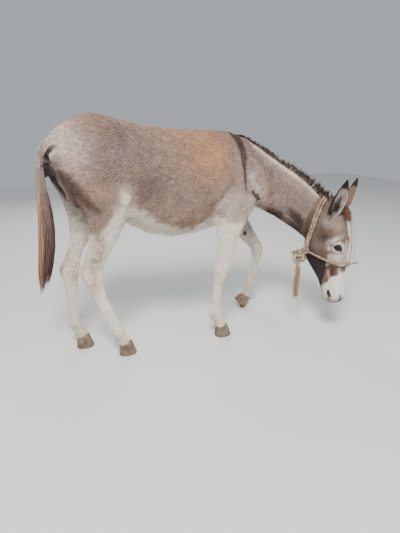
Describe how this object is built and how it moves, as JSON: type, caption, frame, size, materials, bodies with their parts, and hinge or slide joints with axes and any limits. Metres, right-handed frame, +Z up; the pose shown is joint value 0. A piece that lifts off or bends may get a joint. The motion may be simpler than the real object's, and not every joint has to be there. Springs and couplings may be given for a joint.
{
  "type": "donkey",
  "caption": "Life-size donkey grazing in a rope halter, head low and turned to its right, one foreleg stepping on its toe.",
  "frame": {"origin": "middle of the bounding box, on the floor that the hooves stand on", "axes": "+X along the trunk towards the head, +Y to the animal's left, +Z up"},
  "size_m": [1.466, 0.5534, 1.0713],
  "materials": {
    "coat": "short grey-dun coat, paler belly and legs",
    "hoof": "worn grey horn",
    "eye": "wet, dark brown",
    "long_hair": "coarse dark brown hair",
    "rope": "straw-coloured twisted rope, frayed"
  },
  "bodies": {
    "root": {"trunk": "coat", "neck": "coat", "head": "coat", "ear_left": "coat", "ear_right": "coat", "tail_dock": "coat", "foreleg_right_upper": "coat", "foreleg_right_lower": "coat", "foreleg_left_upper": "coat", "foreleg_left_lower": "coat", "hindleg_right_upper": "coat", "hindleg_right_lower": "coat", "hindleg_left_upper": "coat", "hindleg_left_lower": "coat", "foreleg_right_hoof": "hoof", "foreleg_left_hoof": "hoof", "hindleg_right_hoof": "hoof", "hindleg_left_hoof": "hoof", "eye_left": "eye", "eye_right": "eye", "mane": "long_hair", "forelock": "long_hair", "tail_switch": "long_hair", "halter_crown_front": "rope", "halter_crown_back": "rope", "halter_noseband": "rope", "halter_jaw_rope": "rope", "halter_face_strand": "rope", "halter_knot_right": "rope", "halter_knot_left": "rope", "halter_tail": "rope"}
  },
  "joints": []
}
